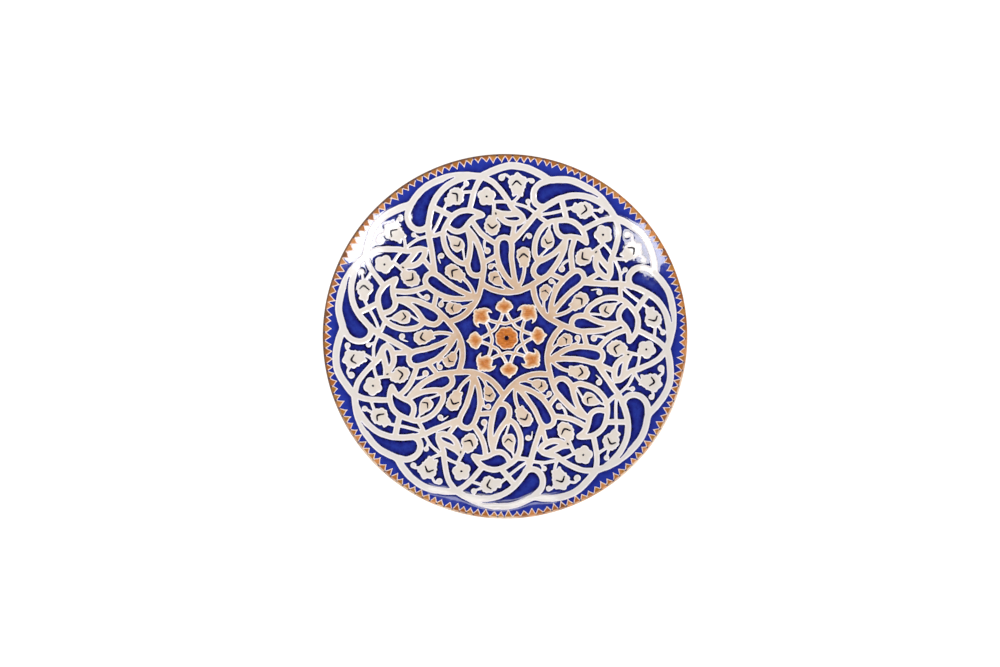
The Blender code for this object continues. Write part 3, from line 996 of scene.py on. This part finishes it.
def rim_material():
    """Orange-brown enamel, uneven from tooth to tooth, ivory along the teeth, darker on the lip with painted
    shade.
    """
    n = material_nodes("rim_orange_enamel")
    brush = n.math("ADD", n.times(n.noise(190, 5, 0.7), 0.6), n.times(n.number("tone"), 0.4))
    body = n.ramp(brush, [
        (0.25, (0.50, 0.27, 0.07)), (0.42, (0.70, 0.39, 0.14)), (0.55, (0.66, 0.44, 0.11)),
        (0.68, (0.82, 0.52, 0.28)),
    ])
    outward = n.number("outward")
    # The lip is a darker brown all round, and towards the upper left it darkens further with painted shade.
    shade = n.span(n.towards(-5.0, 3.6, 0.0), -0.4, 0.8, 0.15, 0.85)
    body = n.mix(n.times(n.span(outward, -1.3, 0.5), shade), body, (0.43, 0.31, 0.22))
    # Painted highlight: towards the bottom the lip is whitened as if it reflected the lights.
    low_down = n.span(n.towards(1.2, -6.4, 0.0), 0.1, 0.5, 0, 0.75)
    lip_highlight = n.times(n.span(outward, -1.0, 0.3), low_down)
    lip_highlight = n.times(lip_highlight, n.span(n.noise(45), 0.35, 0.6, 0.3, 1))
    body = n.mix(lip_highlight, body, (0.95, 0.86, 0.76))
    edge = n.span(n.uneven(n.number("depth"), 0.6, 500), 0.45, 0.95, 1, 0)
    colour = n.mix(edge, body, (0.97, 0.88, 0.82))
    # The outlines of two teeth run on between them towards the lip, where the blue shows through as a dot.
    between = n.uneven(n.number("aside"), 0.35, 600)
    seam = n.times(n.span(between, 0.72, 0.92), n.span(outward, -0.9, 0.2, 0.75, 0))
    colour = n.mix(seam, colour, (0.95, 0.86, 0.80))
    dot = n.times(n.span(outward, 0.0, 0.7, 1, 0), n.span(n.noise(70), 0.36, 0.48))
    dot = n.times(n.times(n.span(between, 0.7, 0.9), n.span(outward, -1.2, -0.5)), dot)
    colour = n.mix(dot, colour, (0.12, 0.08, 0.28))
    grain = n.bump(n.noise(420, 4, 0.6), 0.4, 0.0006)
    return n.surface(colour, (300, 0.38, 0.55), {"Normal": grain, "Specular IOR Level": 0.3})


def lathe(name, profile):
    """A closed solid turned round the axis, from the radius and height of points round its section."""
    profile = np.asarray(profile, float)
    angle = np.arange(WHEEL_STEPS) * 2 * math.pi / WHEEL_STEPS
    on_axis = profile[:, 0] < 1e-6
    points, rings = [], []
    for (radius, height), axial in zip(profile, on_axis):
        start = len(points)
        if axial:
            rings.append([start] * WHEEL_STEPS)
            points.append((0, 0, height))
        else:
            rings.append(range(start, start + WHEEL_STEPS))
            points += [(radius * math.cos(a), radius * math.sin(a), height) for a in angle]
    faces = []
    pairs = list(zip(rings, rings[1:]))
    if not on_axis[0]:
        pairs.append((rings[-1], rings[0]))
    for upper, lower in pairs:
        for i in range(WHEEL_STEPS):
            j = (i + 1) % WHEEL_STEPS
            face = list(dict.fromkeys((upper[j], upper[i], lower[i], lower[j])))
            if len(face) > 2:
                faces.append(face)
    mesh = bpy.data.meshes.new(name)
    mesh.from_pydata([tuple(c * MM for c in p) for p in points], [], faces)
    mesh.shade_smooth()
    mesh.set_sharp_from_angle(angle=math.radians(50))
    return mesh


# Radius and height down the dish's outer side, from the lip to the foot.
BACK = [(149.3, 31.4), (148.5, 30.3), (143.0, 26.4), (134.0, 20.7), (123.0, 15.1), (110.0, 10.5),
        (98.0, 8.1), (89.5, 7.4)]
# And round the foot ring, from the outer side over the standing face to the inner side.
FOOT = [(88.6, 7.3), (88.0, 6.2), (87.2, 3.0), (86.2, 1.0), (84.6, 0.1), (83.6, 0.0), (79.6, 0.0),
        (78.6, 0.15), (77.4, 1.4), (76.7, 4.0), (76.2, 6.4), (75.8, 7.3)]


def back_curve(offset):
    """The dish's outer side, moved outwards."""
    curve = curve_through(BACK, step=1.6)
    slope = np.gradient(curve, axis=0)
    outward = np.stack([-slope[:, 1], slope[:, 0]], 1) / np.hypot(*slope.T)[:, None]
    return curve + outward * offset


def make_back(clay, white):
    """The clay body, the foot ring, and the glazes behind."""
    face = [(r, clay_height(r) - 0.02) for r in np.arange(0, 148.4, 3.7)]
    lip = [(148.9, clay_height(148.9) - 0.2), (149.35, 32.6), (149.45, 31.9)]
    body = face + lip + [tuple(p) for p in back_curve(0.0)] + [(0.0, 7.35)]
    place(lathe("thrown_body", body), clay, ["clay_body"])
    coat = np.vstack([back_curve(0.45), back_curve(0.06)[::-1]])
    place(lathe("back_glaze_coat", coat), white, ["back_glaze"])
    recess = [(0, 7.3), (76.2, 7.3), (76.2, 6.95), (75.6, 6.85), (0, 6.85)]
    place(lathe("recess_glaze_coat", recess), white, ["recess_glaze"])
    place(lathe("turned_foot", curve_through(FOOT, step=0.7)), clay, ["foot_ring"])


def make_camera():
    """Above the plate, a little to the lower right of its axis."""
    data = bpy.data.cameras.new("Camera")
    camera = link_object(data)
    bpy.context.scene.camera = camera
    data.lens = LENS
    data.sensor_width = SENSOR_WIDTH
    distance = WIDTH_SEEN * MM * data.lens / data.sensor_width
    lean = Vector(CAMERA_LEAN).normalized()
    across = Vector((0, 1, 0)).cross(lean).normalized()
    turn = Matrix((across, lean.cross(across), lean)).transposed()
    camera.matrix_world = Matrix.LocRotScale(Vector(AIM) * MM + lean * distance, turn, None)
    data.clip_end = 20.0


def area_light(name, position, size, power):
    """A lamp that looks at the middle of the floor and can't be seen itself."""
    data = bpy.data.lights.new(name, "AREA")
    data.shape = "RECTANGLE"
    data.size, data.size_y = size
    data.energy = power
    light = link_object(data)
    light.location = position
    light.rotation_mode = "QUATERNION"
    light.rotation_quaternion = (-Vector(position)).to_track_quat("-Z", "Y")
    light.visible_camera = False
    return light


def light_at(clock_degrees, zenith_degrees, distance):
    """A place above the plate, from its bearing clockwise from the top and its angle off the axis."""
    bearing, zenith = math.radians(clock_degrees), math.radians(zenith_degrees)
    flat = distance * math.sin(zenith)
    return (flat * math.sin(bearing), flat * math.cos(bearing), distance * math.cos(zenith))


def make_studio():
    """The room's light, the softboxes and a white floor."""
    world = bpy.data.worlds.new("Studio")
    bpy.context.scene.world = world
    n = Nodes(world, "Background")
    # Light walls low down and a dark ceiling, so that the glaze reflects only the softboxes.
    walls = n.ramp(n.part(n.add("ShaderNodeTexCoord").outputs["Generated"], "Z"), [
        (0.1, (1.0, 1.0, 1.0)), (0.2, (0.35, 0.35, 0.35)), (0.36, (0.025, 0.025, 0.027)),
    ], convert=tuple)
    n.feed(n.shader, {"Color": walls, "Strength": 1.0})

    for name, (bearing, zenith, size, power) in SOFTBOXES.items():
        area_light(name, light_at(bearing, zenith, LIGHT_DISTANCE), size, power)
    # The rest of the room's light, which leaves no highlights of its own.
    area_light("overhead_fill", light_at(0, 0, 1.8), (1.0, 1.0), 8.7).visible_glossy = False
    for bearing in (30, 120, 210, 300):
        side = area_light(f"side_fill_{bearing}", light_at(bearing, 60, LIGHT_DISTANCE), (0.8, 0.8), 5.0)
        side.visible_glossy = False

    bpy.ops.mesh.primitive_plane_add(size=8.0, location=(0, 0, 0))
    floor = bpy.context.active_object
    floor.name = "studio_floor"
    n = material_nodes("white_sweep")
    n.feed(n.shader, {
        "Base Color": (0.2, 0.2, 0.2, 1.0),
        "Roughness": 0.9,
        "Specular IOR Level": 0.0,
        "Emission Color": (1, 1, 1, 1),
        "Emission Strength": 0.93,
    })
    floor.data.materials.append(n.owner)
    bpy.context.scene.view_settings.view_transform = "Standard"


def main():
    make_camera()
    ivory = ivory_material("ivory_relief_glaze", (0.79, 0.65, 0.53), 0.75)
    star_ivory = ivory_material("star_line_glaze", (0.85, 0.71, 0.56), 0.85)
    blue = blue_material()
    palmette_orange = orange_material("palmette_orange", 4.0, [
        (0.12, (0.97, 0.92, 0.90)), (0.3, (0.93, 0.80, 0.66)), (0.58, (0.88, 0.67, 0.46)),
        (1.0, (0.81, 0.50, 0.25)),
    ], 0.3)
    rosette_orange = orange_material("rosette_orange", 4.0, [
        (0.08, (0.96, 0.90, 0.86)), (0.22, (0.90, 0.68, 0.48)), (0.36, (0.83, 0.52, 0.27)),
        (1.0, (0.82, 0.48, 0.18)),
    ], 0.55)
    dark = dark_material()
    clay = plain_glaze("fired_clay", (0.74, 0.59, 0.47), (0.66, 0.51, 0.39), 0.85)
    white = plain_glaze("off_white_glaze", (0.81, 0.78, 0.71), (0.76, 0.725, 0.65), 0.16)
    make_face(ivory, blue)
    make_medallion(star_ivory, palmette_orange, rosette_orange, dark)
    make_marks(dark)
    make_rim(rim_material())
    make_back(clay, white)
    make_studio()


main()
